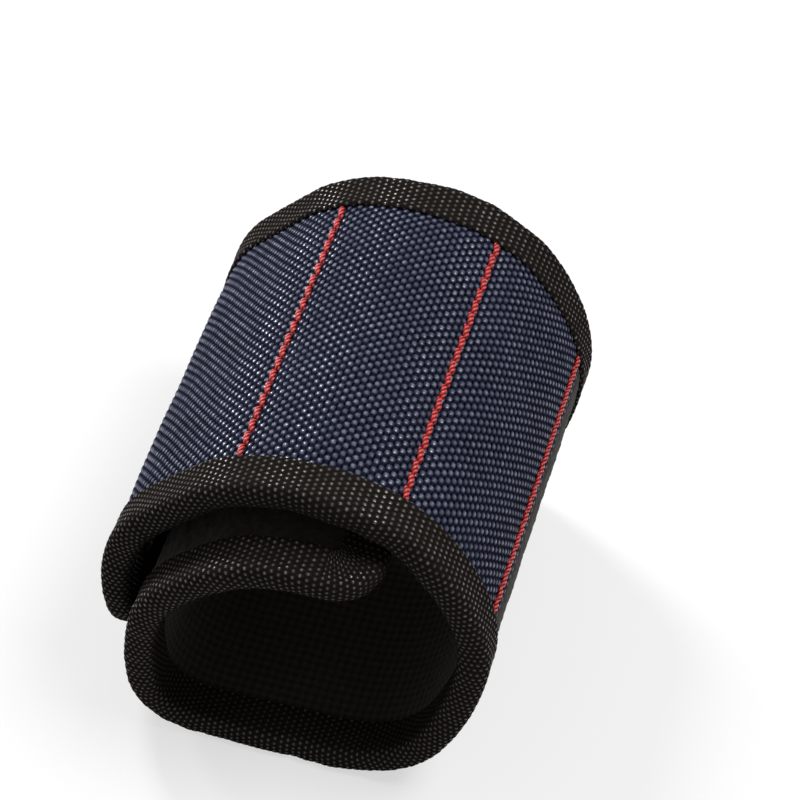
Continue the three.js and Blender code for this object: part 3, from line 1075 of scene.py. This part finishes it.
@dataclass
class StitchRows:
    """Red rows across the strap that part the magnet panels."""

    reach: float = 35.7
    count: int = 21
    thick: float = 1.06
    lean: float = 0.16
    seat: float = 2.56
    arch: float = 0.2
    strands: int = 3
    twist: float = 11.0

    def row(self, number: int, station: float, span: Span) -> bpy.types.Object:
        """One row of stitches.

        Args:
            number: Number of the row from the outer end.
            station: Distance along the strap.
            span: The span that it lies on.

        Returns:
            The piece.
        """
        bm = bmesh.new()
        bmesh.ops.create_uvsphere(bm, u_segments=18, v_segments=28, radius=1.0)
        mesh, unit, which = repeat(f"stitches_{number}", bm, self.count)
        pitch = 2 * self.reach / self.count
        middle = -self.reach + (which + 0.5) * pitch
        along = unit[:, 2]
        around = np.arctan2(unit[:, 1], unit[:, 0])
        jitter = lattice(which.astype(float), np.full_like(middle, number), 61) - 0.5
        body = (1 - np.abs(along) ** 7) ** 0.5
        twist = np.cos(self.strands * around + along * self.twist + jitter * 9)
        radius = self.thick / 2 * body * (1 + 0.16 * twist) * (1 - 0.15 * along ** 2)
        w = middle + along * pitch * 0.54
        slant = self.lean * (1 + 0.5 * jitter)
        s = station - slant * (w - middle) + radius * np.cos(around) * 1.06 + 0.12 * jitter
        sink = 0.34 * np.abs(along) ** 4
        n = self.seat + self.arch * (1 - along ** 2) - sink + radius * np.sin(around) * 0.9
        # Lift is low in the twist's grooves and towards the ends where each stitch sinks, so the thread is
        # painted darker there: painted shade.
        keep(mesh, "lift", np.clip(0.5 + 0.5 * twist, 0, 1) * (0.6 + 0.4 * body))
        set_points(mesh, STRAP.wind(s, w, n))
        piece = new_piece(f"stitches_{number}", mesh)
        WARDROBE.dress(piece, Slot.THREAD)
        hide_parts(f"stitch_row_{number}")
        span.follow(piece)
        return piece

    def build(self) -> list[bpy.types.Object]:
        """Makes the four rows."""
        return [self.row(i + 1, row, span) for i, (row, span) in enumerate(zip(ROWS, SPANS))]


@dataclass
class HookPatch:
    """Hook tape sewn inside the outer end."""

    start: float = 17.0
    end: float = 45.0
    half: float = 32.0
    back: float = -2.72
    face: float = -3.12
    hook: float = 0.75
    wire: float = 0.13
    stem: float = 0.35
    crook: float = 0.24
    pitch: float = 1.45
    step: float = 0.5

    def backing(self) -> bpy.types.Object:
        """Flat backing of the patch, ribbed where the hooks stand."""
        stations = SPANS[0].cut(self.start, self.end).stations(self.step)
        columns = np.linspace(self.half, -self.half, round(2 * self.half / self.step) + 1)
        grid = GridSheet("hook_backing", stations, columns)
        edge = np.minimum(np.minimum(grid.u - self.start, self.end - grid.u), self.half - np.abs(grid.v))
        roll = np.clip(edge / 0.6, 0, 1)
        rib = 0.5 + 0.5 * np.cos(2 * np.pi * grid.v / self.pitch)
        n = self.back + (self.face - self.back) * np.sqrt(roll * (2 - roll)) + 0.06 * rib * roll
        piece = grid.piece(STRAP.wind(grid.u, grid.v, n), {"lift": rib})
        WARDROBE.dress(piece, Slot.HOOK)
        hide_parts("hook_patch")
        SPANS[0].follow(piece)
        return piece

    def hooks(self) -> bpy.types.Object:
        """Rows of bent hooks on the backing."""
        bm = bmesh.new()
        made = bmesh.ops.create_circle(bm, cap_ends=True, segments=4, radius=self.wire)
        bmesh.ops.translate(bm, verts=made["verts"], vec=(0.0, 0.0, self.stem))
        stem = bmesh.ops.extrude_face_region(bm, geom=bm.faces[:])["geom"]
        top = [part for part in stem if isinstance(part, bmesh.types.BMVert)]
        bmesh.ops.translate(bm, verts=top, vec=(0.0, 0.0, -self.stem))
        tip = [part for part in stem if isinstance(part, bmesh.types.BMFace)]
        bmesh.ops.spin(bm, geom=tip, cent=(self.crook, 0.0, 0.0), axis=(0.0, 1.0, 0.0),
                       angle=math.radians(200), steps=5, use_merge=False)
        bmesh.ops.recalc_face_normals(bm, faces=bm.faces[:])
        across = np.arange(-self.half + 1.2, self.half - 1.0, self.pitch)
        along = np.arange(self.start + 1.2, self.end - 1.0, self.pitch)
        count = len(across) * len(along)
        mesh, unit, which = repeat("hook_rows", bm, count)
        row, column = which // len(across), which % len(across)
        turn = np.where(column % 2 == 0, 1.0, -1.0)
        s = along[row] + turn * (unit[:, 0] - 0.12)
        w = across[column] + unit[:, 1] + 0.15 * (lattice(row * 1.0, column * 1.0, 71) - 0.5)
        low, high = unit[:, 2].min(), unit[:, 2].max()
        n = self.face - self.hook * (high - unit[:, 2]) / (high - low) + 0.02
        set_points(mesh, STRAP.wind(s, w, n))
        piece = new_piece("hook_rows", mesh)
        WARDROBE.dress(piece, Slot.HOOK)
        SPANS[0].follow(piece)
        return piece

    def build(self) -> list[bpy.types.Object]:
        """Makes the patch."""
        return [self.backing(), self.hooks()]


@dataclass
class Magnets:
    """Plated discs in the pockets of the foam."""

    count: int = 3

    def build(self) -> list[bpy.types.Object]:
        """Gives the magnets their plating."""
        pieces = []
        for panel in PANELS:
            for number in range(1, self.count + 1):
                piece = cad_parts[f"magnet_{panel}_{number}"]
                piece.data.materials.clear()
                piece.data.materials.append(WARDROBE.material(Slot.MAGNET))
                pieces.append(piece)
        return pieces


@dataclass
class Studio:
    """Pale floor, soft lamps and the camera."""

    aim: Triple = (0.00575, 0.020223, 0.047434)
    azimuth: float = 13.2352
    elevation: float = 51.171
    roll: float = 4.0998
    distance: float = 0.62
    lens: float = 126.976
    target: Triple = (0.0, 0.0, 0.05)
    lamps: tuple[tuple[str, Triple, float, float], ...] = (
        ("key", (-0.5, 0.5, 0.8), 0.2, 5.4),
        ("fill", (0.4, 0.05, 0.95), 0.4, 6.0),
        ("side", (-0.95, 0.5, 0.24), 0.25, 6.0),
    )
    ambient: float = 0.3
    seen: float = 0.7
    floor_size: float = 4.0
    floor_glow: float = 0.6
    fade_from: float = 0.5
    fade_length: float = 1.25

    def camera(self) -> None:
        """Sets the camera at the viewing angle of the picture."""
        a, e, r = (math.radians(v) for v in (self.azimuth, self.elevation, self.roll))
        back = Vector((math.sin(a) * math.cos(e), -math.cos(a) * math.cos(e), math.sin(e)))
        level = Vector((math.cos(a), math.sin(a), 0))
        rise = back.cross(level)
        right = level * math.cos(r) + rise * math.sin(r)
        up = rise * math.cos(r) - level * math.sin(r)
        data = bpy.data.cameras.new("camera")
        data.lens, data.sensor_width, data.clip_start = self.lens, 36.0, 0.01
        camera = bpy.data.objects.new("camera", data)
        place = Matrix((right, up, back)).transposed().to_4x4()
        place.translation = Vector(self.aim) + back * self.distance
        camera.matrix_world = place
        bpy.context.scene.collection.objects.link(camera)
        bpy.context.scene.camera = camera

    def lamp(self, name: str, at: Triple, size: float, power: float) -> None:
        """Adds one soft lamp that faces the band."""
        data = bpy.data.lights.new(name, "AREA")
        data.shape, data.size, data.energy = "DISK", size, power
        lamp = bpy.data.objects.new(name, data)
        lamp.location = at
        way = Vector(self.target) - Vector(at)
        lamp.rotation_euler = way.to_track_quat("-Z", "Y").to_euler()
        bpy.context.scene.collection.objects.link(lamp)

    def floor(self) -> None:
        """Pale floor under the band, white far from it."""
        bm = bmesh.new()
        bmesh.ops.create_grid(bm, x_segments=1, y_segments=1, size=self.floor_size)
        mesh = bpy.data.meshes.new("floor")
        bm.to_mesh(mesh)
        bm.free()
        floor = bpy.data.objects.new("floor", mesh)
        bpy.context.scene.collection.objects.link(floor)
        bench = Bench("floor")
        shade = bench.noise(3.0)
        matt = bench.add("ShaderNodeBsdfDiffuse", None,
                         {"Color": bench.mix(shade, (0.87, 0.87, 0.87), (0.89, 0.89, 0.89))})
        white = bench.add("ShaderNodeEmission")
        rays = bench.add("ShaderNodeLightPath")
        seen = sum((bench.out(rays, f"Is {kind} Ray") for kind in ("Glossy", "Transmission")),
                   bench.out(rays, "Is Camera Ray"))
        place = bench.add("ShaderNodeTexCoord").outputs["Object"]
        away = bench.out(bench.add("ShaderNodeVectorMath", {"operation": "LENGTH"}, {0: place}), "Value")
        far = ((away - self.fade_from) * (1 / self.fade_length)).unit()
        pale = far * (1 - self.floor_glow) + self.floor_glow
        both = bench.add("ShaderNodeMixShader", None,
                         {0: seen.unit() * pale, 1: matt.outputs[0], 2: white.outputs[0]})
        bench.add("ShaderNodeOutputMaterial", None, {"Surface": both.outputs[0]})
        mesh.materials.append(bench.material)

    def world(self) -> None:
        """Even pale light from all round, white where it is seen."""
        world = bpy.data.worlds.new("studio")
        world.use_nodes = True
        tree = world.node_tree
        rays = tree.nodes.new("ShaderNodeLightPath")
        tree.nodes["Background"].inputs[0].default_value = (1, 1, 1, 1)
        level = None
        for kind in ("Camera", "Glossy", "Transmission"):
            step = tree.nodes.new("ShaderNodeMath")
            step.operation = "MULTIPLY_ADD"
            step.inputs[1].default_value, step.inputs[2].default_value = self.seen, self.ambient
            tree.links.new(rays.outputs[f"Is {kind} Ray"], step.inputs[0])
            if level:
                tree.links.new(level.outputs[0], step.inputs[2])
            level = step
        tree.links.new(level.outputs[0], tree.nodes["Background"].inputs[1])
        bpy.context.scene.world = world

    def build(self) -> None:
        """Sets up the studio."""
        self.camera()
        self.floor()
        self.world()
        for lamp in self.lamps:
            self.lamp(*lamp)
        bpy.context.scene.view_settings.view_transform = "Standard"


def main() -> None:
    """Builds the band in order."""
    Studio().build()
    for maker in (FoamPads(), FaceCloth(), LiningCloth(), EdgeTape(), StitchRows(), HookPatch(), Magnets()):
        for piece in maker.build():
            LOG.info("%s: %s, %d faces", type(maker).__name__, piece.name, len(piece.data.polygons))


if __name__ == "__main__":
    main()
